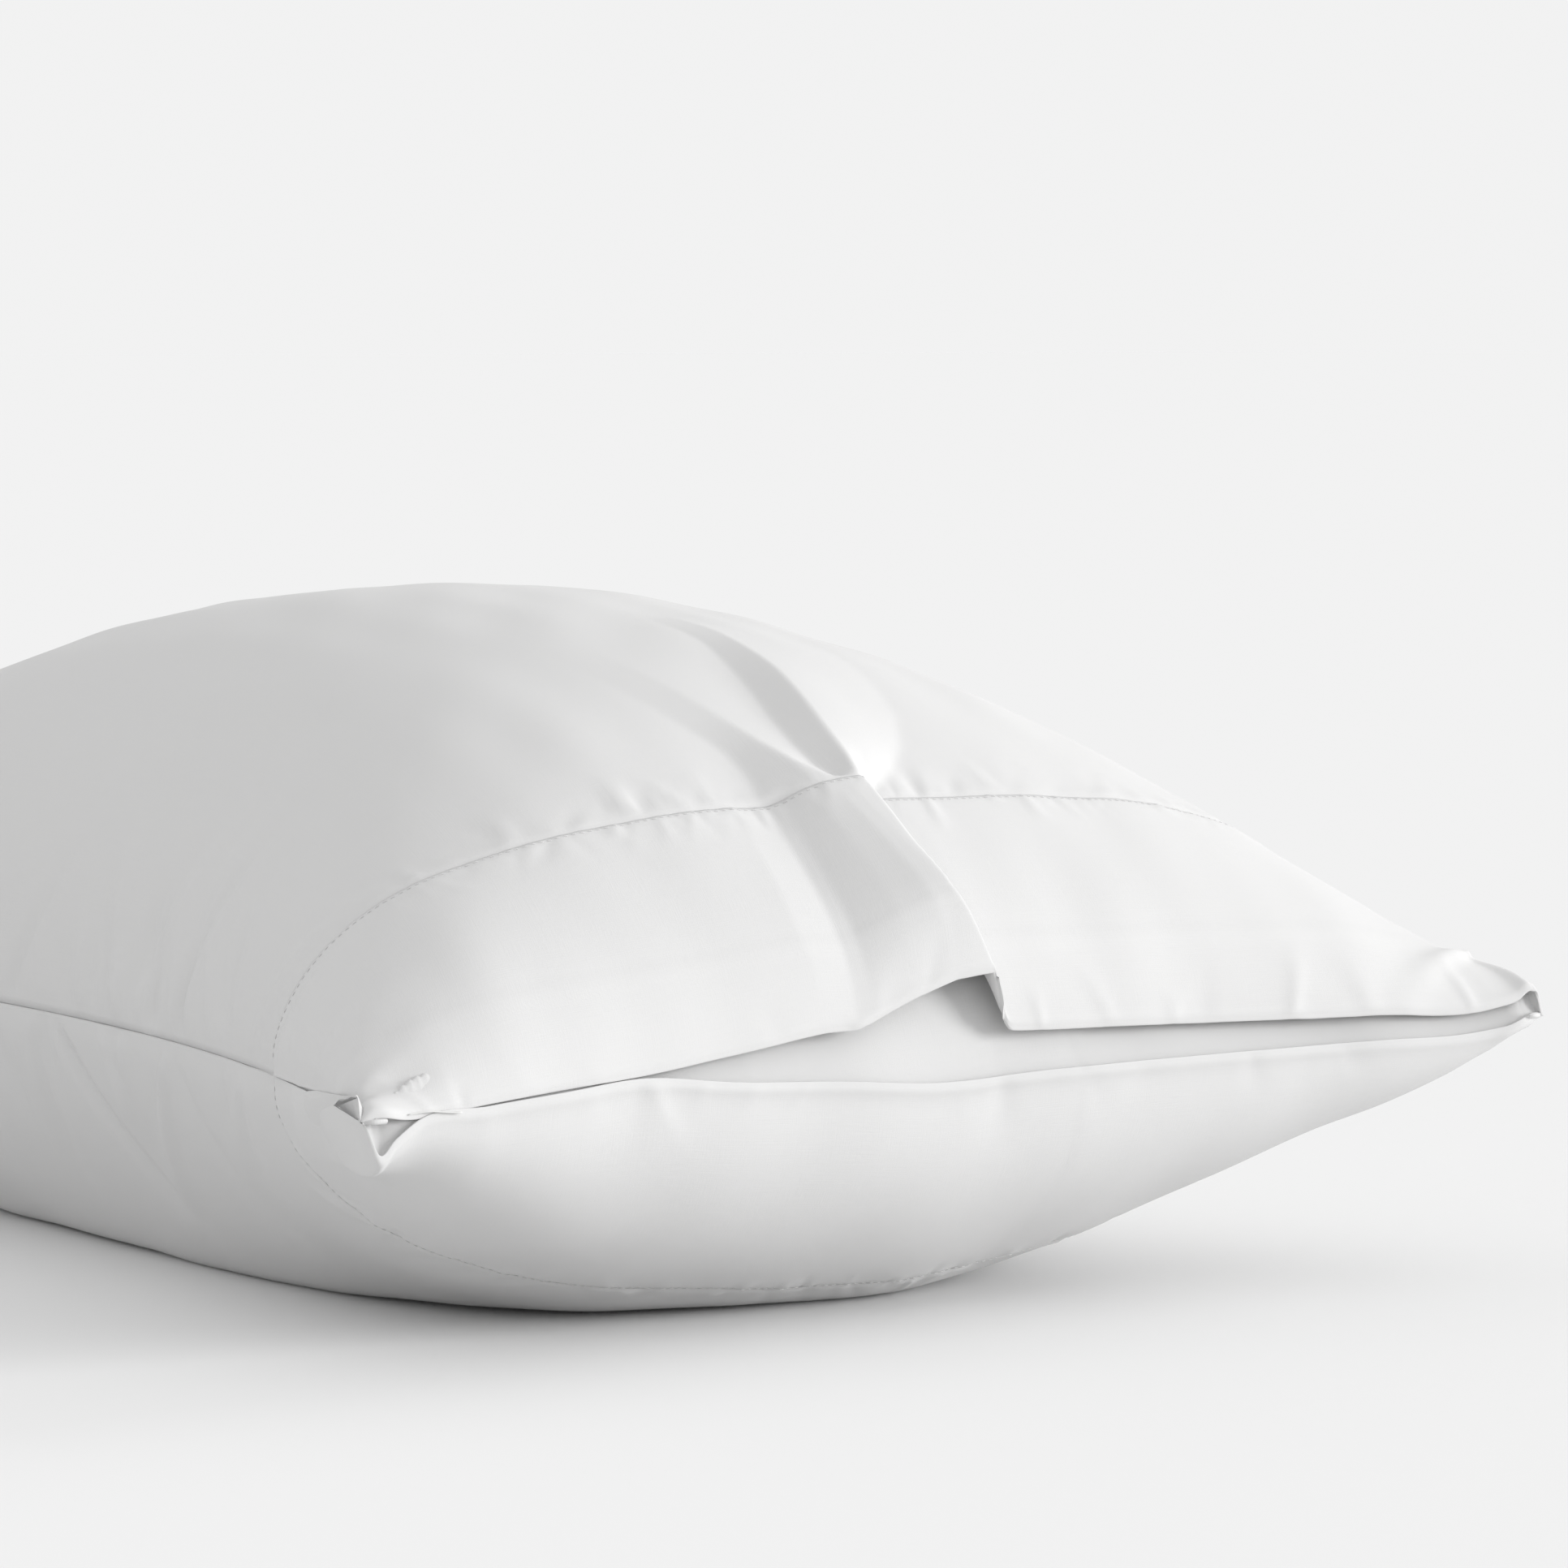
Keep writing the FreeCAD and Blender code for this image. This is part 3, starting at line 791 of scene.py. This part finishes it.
class PILLOW_OT_stage(bpy.types.Operator):
    """Camera, pale floor and soft studio light"""

    bl_idname = "pillow.stage"
    bl_label = "Set the stage"

    def execute(self, context):
        studio = context.scene.pillow_studio
        turn, tilt = studio.turn, studio.tilt
        back = np.array([np.cos(turn) * np.cos(tilt), -np.sin(turn) * np.cos(tilt), np.sin(tilt)])
        data = bpy.data.cameras.new("camera")
        data.lens, data.sensor_width, data.clip_end = studio.lens, 36, 200
        camera = bpy.data.objects.new("camera", data)
        camera.location = np.array(studio.aim) + back * studio.distance
        camera.rotation_euler = (QUARTER - tilt, 0, QUARTER - turn)
        context.scene.collection.objects.link(camera)
        context.scene.camera = camera
        context.scene.view_settings.view_transform = "Standard"
        self.light(context, studio)
        self.floor(studio)
        return {"FINISHED"}

    def light(self, context, studio):
        world = bpy.data.worlds.new("studio")
        world.use_nodes = True
        surroundings = world.node_tree.nodes["Background"]
        surroundings.inputs["Color"].default_value = (1.0, 1.0, 1.0, 1)
        surroundings.inputs["Strength"].default_value = studio.backdrop
        context.scene.world = world
        for name in ("front", "side"):
            sun = bpy.data.lights.new(name, "SUN")
            sun.energy, sun.angle = getattr(studio, name), studio.softness
            lamp = bpy.data.objects.new(name, sun)
            tilt, turn = getattr(studio, f"{name}_tilt"), getattr(studio, f"{name}_turn")
            lamp.rotation_euler = (0, QUARTER - tilt, turn)
            context.scene.collection.objects.link(lamp)

    def floor(self, studio):
        """A sweep as bright, where nothing shades it, as the surroundings."""
        size = 60.0
        corners = np.array([(-size, -size, 0), (size, -size, 0), (size, size, 0), (-size, size, 0)])
        floor = mesh_object("studio_floor", corners, [(0, 1, 2, 3)])
        s = Shader("studio floor")
        fleck = s.node("ShaderNodeTexNoise", None, Scale=3.0, Detail=2.0)
        lit = studio.backdrop + (
            studio.front * np.sin(studio.front_tilt) + studio.side * np.sin(studio.side_tilt)
        ) / np.pi
        white = float(studio.backdrop / lit)
        paint = (white, white, white, 1)
        s.finish(paint, 0.8 + fleck * 0.05, None, Specular_IOR_Level=0.0)
        floor.data.materials.append(s.material)
        floor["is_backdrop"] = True


def panel_grid(side, sizes):
    """Outer face of one body panel, from just under the hem to the closed end, with its UVs."""
    b = columns_across(PANEL_COLUMNS)
    total = side.cloth.length(b)
    start = sizes.hem_depth - UNDER_HEM
    share = np.linspace(0, 1, PANEL_ROWS)[:, None] ** 1.25
    depth = (start + (total - start)[None, :] * share)[::-1]
    outer = side.surface(depth, b)
    under_hem = 1 - smooth(depth, sizes.hem_depth - 0.0004, sizes.hem_depth + 0.0008)
    outer -= grid_normals(outer, side.side) * (under_hem * TUCK)[..., None]
    return outer, cloth_uv(outer, depth)


class PILLOW_OT_panels(bpy.types.Operator):
    """The two panels of the pillowcase"""

    bl_idname = "pillow.panels"
    bl_label = "Sew the case panels"

    def execute(self, context):
        sizes = context.scene.pillow_sizes
        for side, word in SIDES:
            outer, uv = panel_grid(CaseSide(side, sizes), sizes)
            inner = outer - grid_normals(outer, side) * sizes.ply
            panel = closed_piece(f"{word}_panel_cloth", outer, inner, uv, flip=side > 0)
            finish_piece(panel, "case", "case_cloth", "percale", f"case_{word}_panel")
        return {"FINISHED"}


class PILLOW_OT_cuffs(bpy.types.Operator):
    """The deep hems, each folded double with a rounded lip"""

    bl_idname = "pillow.cuffs"
    bl_label = "Fold the deep hems"

    def execute(self, context):
        sizes = context.scene.pillow_sizes
        for side, word in SIDES:
            cuff = self.fold(CaseSide(side, sizes), sizes, word)
            nodes = [f"{word}_cuff_{ply}_ply" for ply in ("outer", "inner")]
            finish_piece(cuff, "case", "case_cloth", "percale", *nodes)
        return {"FINISHED"}

    def fold(self, side, sizes, word):
        b = columns_across(HEM_COLUMNS)
        lip_rows = np.array([0, 0.0005, 0.0011, 0.0018, 0.0027, 0.0038, 0.0052])
        body_rows = np.linspace(0.0070, sizes.hem_depth, HEM_ROWS)
        rows = np.concatenate([lip_rows, body_rows])[::-1]
        depth = rows[:, None] * np.ones(len(b))
        outer = side.surface(depth, b)
        normal = grid_normals(outer, side.side)
        outer += normal * (0.0004 * bump(depth - 0.0024, 0.0016))[..., None]
        plies = sizes.ply * (1 + 1.6 * smooth(sizes.hem_depth - depth, 0, 0.006))
        inner = (outer - normal * plies[..., None])[::-1]
        if side.side < 0:
            inner = self.flange(outer[-1], inner, b)
        out_way = unit(outer[-1] - outer[-3])
        across = unit(inner[0] - outer[-1])
        width = np.linalg.norm(inner[0] - outer[-1], axis=-1)[:, None]
        lip = []
        for angle in np.linspace(0, np.pi, 9)[1:-1]:
            pinch = 1 - 0.35 * bump(angle - QUARTER, 0.4)
            lip.append(
                outer[-1] + across * width * (1 - np.cos(angle)) / 2
                + out_way * (0.0007 * np.sin(angle) * pinch)
            )
        grid = np.concatenate([outer, np.array(lip), inner])
        count, columns = grid.shape[:2]
        path = run_along(grid[:, columns // 2])
        uv = cloth_uv(grid, (sizes.hem_depth - path)[:, None] * np.ones(columns))
        faces = grid_faces(count, columns, 0, side.side > 0, wrap=True)
        for j in (0, columns - 1):
            for i in range(count // 2 - 1):
                quad = [i * columns + j, (i + 1) * columns + j,
                        (count - 2 - i) * columns + j, (count - 1 - i) * columns + j]
                faces.append(tuple(quad if (j == 0) == (side.side > 0) else quad[::-1]))
        return mesh_object(f"{word}_cuff", grid.reshape(-1, 3), faces, uv.reshape(-1, 2))

    def flange(self, lip, inner, b):
        """The lower hem's inner ply stands up behind the upper lip before it drops inside."""
        t = np.linspace(0, 1, len(inner))[:, None]
        shifts = np.linspace(-0.008, 0.034, 15)
        gaps = np.array([mouth_gap(mouth_place(lip) - shift) for shift in shifts])
        gap = np.clip(gaps.max(axis=0), 0, None)
        room = np.cos(b) ** 0.5
        height = (gap + 0.005 * room) * smooth(t, 0, 0.34)
        reach = (0.002 + 0.35 * gap * room + 0.006 * room) * np.clip(t / 0.34, 0, 1.6)
        flange = lip + np.stack([-reach - 0.0009, np.zeros_like(reach), height], -1)
        drop = smooth(t, 0.36, 0.97)[..., None]
        return flange * (1 - drop) + inner * drop


def seam_line(form, a, b, hand):
    """Points on the seam line of a form, and the way inwards on the side of hand."""
    points = form.point(a, b, 1)
    points[:, 2] -= form.rise
    way = unit(np.gradient(points, axis=0))
    return points, np.cross(way, [0, 0, 1.0]) * hand


def side_path(form, hand, limit, count=240):
    """The seam line along one side of a form."""
    return seam_line(form, np.linspace(-limit, limit, count), np.full(count, hand * QUARTER), hand)


def end_path(form, end, limit, count=200):
    """The seam line across one end of a form."""
    return seam_line(form, np.full(count, end * QUARTER), np.linspace(-limit, limit, count), -end)


def squared(v):
    """Turns the sines of a circle into those of a rounded rectangle."""
    return np.sign(v) * np.abs(v) ** 0.55


def allowance_piece(name, points, inward):
    """A seam allowance of two neatened plies, turned to the inside."""
    half = ALLOWANCE_THICKNESS / 2
    turn = np.linspace(0, 2 * np.pi, 16, endpoint=False)
    across = ALLOWANCE * (0.5 - 0.5 * squared(np.cos(turn))) + 0.0012
    up = half * squared(np.sin(turn)) * smooth(across, -0.002, 0.0045)
    rng = np.random.default_rng(SEED)
    run = np.linspace(0, 1, len(points))
    wave = 0.0004 * ripple(run * 0.6, 0 * run, rng, 5, 0.02, 0.06)
    height = up[None, :] + wave[:, None] * across[None, :] / ALLOWANCE
    rings = (
        points[:, None] + inward[:, None] * across[None, :, None]
        + np.array([0, 0, 1.0]) * height[..., None]
    )
    count, sides = rings.shape[:2]
    faces = []
    for i in range(count - 1):
        for k in range(sides):
            a, c = i * sides + k, i * sides + (k + 1) % sides
            faces.append((a, a + sides, c + sides, c))
    faces.append(tuple(range(sides)))
    faces.append(tuple((count - 1) * sides + k for k in range(sides))[::-1])
    uv = np.stack(np.broadcast_arrays(run_along(points)[:, None], across[None, :]), -1)
    return mesh_object(name, rings.reshape(-1, 3), faces, uv.reshape(-1, 2))


class PILLOW_OT_seams(bpy.types.Operator):
    """Side and end seams of the pillowcase with their stitches"""

    bl_idname = "pillow.seams"
    bl_label = "Sew the side and end seams"

    def execute(self, context):
        sizes = context.scene.pillow_sizes
        corner = np.arcsin(1 - 1.5 * ALLOWANCE / HALF_WIDTH)
        runs = {
            "near_side": side_path(CASE, -1, QUARTER - 0.02),
            "far_side": side_path(CASE, 1, QUARTER - 0.02),
            "closed_end": end_path(CASE, -1, corner),
        }
        for word, (points, inward) in runs.items():
            seam = allowance_piece(f"{word}_allowance", points, inward)
            finish_piece(seam, "case", "case_cloth", "percale", f"{word}_seam")
            line = points + inward * 0.0056 + np.array([0, 0, ALLOWANCE_THICKNESS / 2])
            up = np.tile([0, 0, 1.0], (len(line), 1))
            row = stitches(f"{word}_stitches", line, up, sizes.stitch_pitch, sizes.thread)
            finish_piece(row, "case", "thread", "sewing thread", f"{word}_seam_stitching")
        return {"FINISHED"}


class PILLOW_OT_hem_stitching(bpy.types.Operator):
    """The stitched line at the edge of each deep hem"""

    bl_idname = "pillow.hem_stitching"
    bl_label = "Stitch the hems"

    def execute(self, context):
        sizes = context.scene.pillow_sizes
        for side, word in SIDES:
            b = columns_across(HEM_COLUMNS)
            rows = sizes.hem_depth - np.array([0.0005, 0.0016, 0.0027])
            grid = CaseSide(side, sizes).surface(rows[:, None] * np.ones(len(b)), b)
            line, up = grid[1, 4:-4], grid_normals(grid, side)[1, 4:-4]
            row = stitches(f"{word}_hem_stitches", line, up, sizes.stitch_pitch, sizes.thread)
            finish_piece(row, "case", "thread", "sewing thread", f"{word}_hem_stitching")
        return {"FINISHED"}


class PILLOW_OT_labels(bpy.types.Operator):
    """The blank care labels of the case and the insert"""

    bl_idname = "pillow.labels"
    bl_label = "Add the care labels"

    def execute(self, context):
        for body in ("case", "insert"):
            self.tape(body)
        return {"FINISHED"}

    def tape(self, body):
        low, high = (np.array(corner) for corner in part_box(f"{body}_care_label"))
        x = np.linspace(low[0], high[0], 35)[:, None]
        y = np.linspace(low[1], high[1], 21)[None, :]
        free = np.clip((x - low[0]) / (high[0] - low[0]), 0, 1)
        z = (low[2] + high[2]) / 2 + 0.0005 * free * np.sin((y - low[1]) * 240) - 0.0006 * free**2
        grid = np.stack(np.broadcast_arrays(x, y, z), -1)
        uv = np.stack(np.broadcast_arrays(x, y), -1)
        tape = closed_piece(f"{body}_label_tape", grid, grid - [0, 0, LABEL_PLY], uv)
        finish_piece(tape, body, "label_tape", "label tape", f"{body}_care_label")


def insert_grid(side, seed):
    """One side of the insert's cover with puckers running in from its piped edge."""
    a = np.linspace(-QUARTER, QUARTER, PANEL_ROWS)[:, None] * np.ones(PANEL_COLUMNS)
    b = np.linspace(-QUARTER, QUARTER, PANEL_COLUMNS)[None, :]
    base = INSERT.point(a, b, side)
    normal = INSERT.normals(a, b, side)
    x, y = base[..., 0], base[..., 1]
    across, along = run_along(base, axis=1), run_along(base)
    rng = np.random.default_rng(seed)
    total = np.zeros(a.shape)
    edges = (
        ((across, across[:, -1:] - across), x - INSERT_LOW[0], 90, 2 * INSERT.half, (0.02, 0.11)),
        ((along, along[-1:] - along), y + HALF_WIDTH, 70, 0.48, (0.02, 0.10)),
    )
    for distances, place, count, length, reach in edges:
        for off in distances:
            puckers = drag_wrinkles(rng, count, length, reach, (0.002, 0.008), TICKING_PUCKER)
            add_drag(total, place, off, puckers)
    total += 0.0010 * np.cos(b) * np.cos(a) * ripple(x, y, rng, 10, 0.05, 0.2)
    grid = base + normal * np.minimum(total, TALLEST_PUCKER)[..., None]
    if side < 0:
        grid[..., 2] = np.maximum(grid[..., 2], INSERT.floor)
    uv = np.stack([across - across[:, -1:] / 2, along], -1)
    return grid, uv


class PILLOW_OT_insert_cover(bpy.types.Operator):
    """The insert's cover and its fill"""

    bl_idname = "pillow.insert_cover"
    bl_label = "Make the insert"

    def execute(self, context):
        skins = {}
        for side, word in SIDES:
            grid, uv = insert_grid(side, SEED + 5 + side)
            normal = grid_normals(grid, side)
            inner = grid - normal * TICKING_PLY
            cover = closed_piece(f"insert_cover_{word}", grid, inner, uv, flip=side > 0)
            finish_piece(cover, "insert", "ticking_cloth", "ticking", f"insert_ticking_{word}")
            skins[word] = (grid - normal * WADDING_DEPTH)[2:-2, 2:-2]
        wadding = closed_piece(
            "insert_wadding", skins["top"], skins["bottom"], uv[2:-2, 2:-2], flip=True
        )
        finish_piece(wadding, "insert", "fill_fibre", "fibre", "insert_fill")
        return {"FINISHED"}


def around_insert(turn, outside):
    """A closed line round the insert's seam, set outside it, with rounded corners."""
    limit = np.arcsin(1 - turn / INSERT.half)
    cross = np.arcsin(1 - turn / HALF_WIDTH)
    near, near_in = side_path(INSERT, -1, limit, count=260)
    far, far_in = side_path(INSERT, 1, limit, count=260)
    mouth, mouth_in = end_path(INSERT, 1, cross, count=180)
    closed, closed_in = end_path(INSERT, -1, cross, count=180)
    runs = [(near, near_in), (mouth, mouth_in), (far[::-1], far_in[::-1]), (closed[::-1], closed_in[::-1])]
    points = []
    for k, (line, inward) in enumerate(runs):
        points.extend(line - inward * outside)
        after, after_in = runs[(k + 1) % 4]
        start, finish = line[-1] - inward[-1] * outside, after[0] - after_in[0] * outside
        out = unit(line[-1] - line[-2]) * np.linalg.norm(finish - start) * 0.45
        back = unit(after[0] - after[1]) * np.linalg.norm(finish - start) * 0.45
        for t in np.linspace(0, 1, 14)[1:-1]:
            points.append(
                (1 - t) ** 3 * start + 3 * t * (1 - t) ** 2 * (start + out)
                + 3 * t * t * (1 - t) * (finish + back) + t**3 * finish
            )
    return np.array(points)


def ring_tube(name, line, radius, sides=12):
    """A closed round tube along a closed line."""
    way = unit(np.roll(line, -1, axis=0) - np.roll(line, 1, axis=0))
    out = unit(np.cross(way, [0, 0, 1.0]))
    up = np.cross(out, way)
    turn = np.linspace(0, 2 * np.pi, sides, endpoint=False)
    rings = line[:, None] + radius * (
        out[:, None] * np.cos(turn)[None, :, None] + up[:, None] * np.sin(turn)[None, :, None]
    )
    count = len(line)
    faces = [
        (i * sides + k, ((i + 1) % count) * sides + k,
         ((i + 1) % count) * sides + (k + 1) % sides, i * sides + (k + 1) % sides)
        for i in range(count) for k in range(sides)
    ]
    uv = np.stack(np.broadcast_arrays(run_along(line)[:, None], (turn * radius)[None, :]), -1)
    return mesh_object(name, rings.reshape(-1, 3), faces, uv.reshape(-1, 2))


class PILLOW_OT_insert_edge(bpy.types.Operator):
    """Piping and closing stitches round the insert"""

    bl_idname = "pillow.insert_edge"
    bl_label = "Pipe the insert's edge"

    def execute(self, context):
        sizes = context.scene.pillow_sizes
        piping = ring_tube("insert_piping_cord", around_insert(0.008, 0.0005), PIPING_RADIUS)
        finish_piece(piping, "insert", "piping_cloth", "piping", "insert_piping")
        line = around_insert(0.010, -0.0022)
        line[:, 2] += INSERT.rise + 0.0014
        up = np.tile([0, 0, 1.0], (len(line), 1))
        row = stitches("insert_stitches", line, up, sizes.stitch_pitch, sizes.thread)
        finish_piece(row, "insert", "thread", "sewing thread", "insert_edge_stitching")
        return {"FINISHED"}


class PILLOW_PT_sidebar(bpy.types.Panel):
    """Bed pillow settings and steps"""

    bl_idname = "PILLOW_PT_sidebar"
    bl_label = "Bed Pillow"
    bl_space_type = "VIEW_3D"
    bl_region_type = "UI"
    bl_category = "Bed Pillow"

    def draw(self, context):
        for heading, group in (
            ("Cloth", context.scene.pillow_sizes),
            ("Colours", context.scene.pillow_colours),
            ("Studio", context.scene.pillow_studio),
        ):
            box = self.layout.box()
            box.label(text=heading)
            for prop in group.__annotations__:
                box.prop(group, prop)
        for operator in OPERATORS:
            self.layout.operator(operator.bl_idname)


OPERATORS = (
    PILLOW_OT_stage,
    PILLOW_OT_panels,
    PILLOW_OT_cuffs,
    PILLOW_OT_seams,
    PILLOW_OT_hem_stitching,
    PILLOW_OT_labels,
    PILLOW_OT_insert_cover,
    PILLOW_OT_insert_edge,
)
CLASSES = (PillowSizes, PillowColours, StudioSettings, *OPERATORS, PILLOW_PT_sidebar)


def register():
    for cls in CLASSES:
        bpy.utils.register_class(cls)
    bpy.types.Scene.pillow_sizes = PointerProperty(type=PillowSizes)
    bpy.types.Scene.pillow_colours = PointerProperty(type=PillowColours)
    bpy.types.Scene.pillow_studio = PointerProperty(type=StudioSettings)


def unregister():
    del bpy.types.Scene.pillow_studio
    del bpy.types.Scene.pillow_colours
    del bpy.types.Scene.pillow_sizes
    for cls in reversed(CLASSES):
        bpy.utils.unregister_class(cls)


def main():
    register()
    scene = bpy.context.scene
    make_materials(scene.pillow_colours, scene.pillow_sizes)
    bpy.ops.pillow.stage()
    bpy.ops.pillow.panels()
    bpy.ops.pillow.cuffs()
    bpy.ops.pillow.seams()
    bpy.ops.pillow.hem_stitching()
    bpy.ops.pillow.labels()
    bpy.ops.pillow.insert_cover()
    bpy.ops.pillow.insert_edge()


if __name__ == "__main__":
    main()
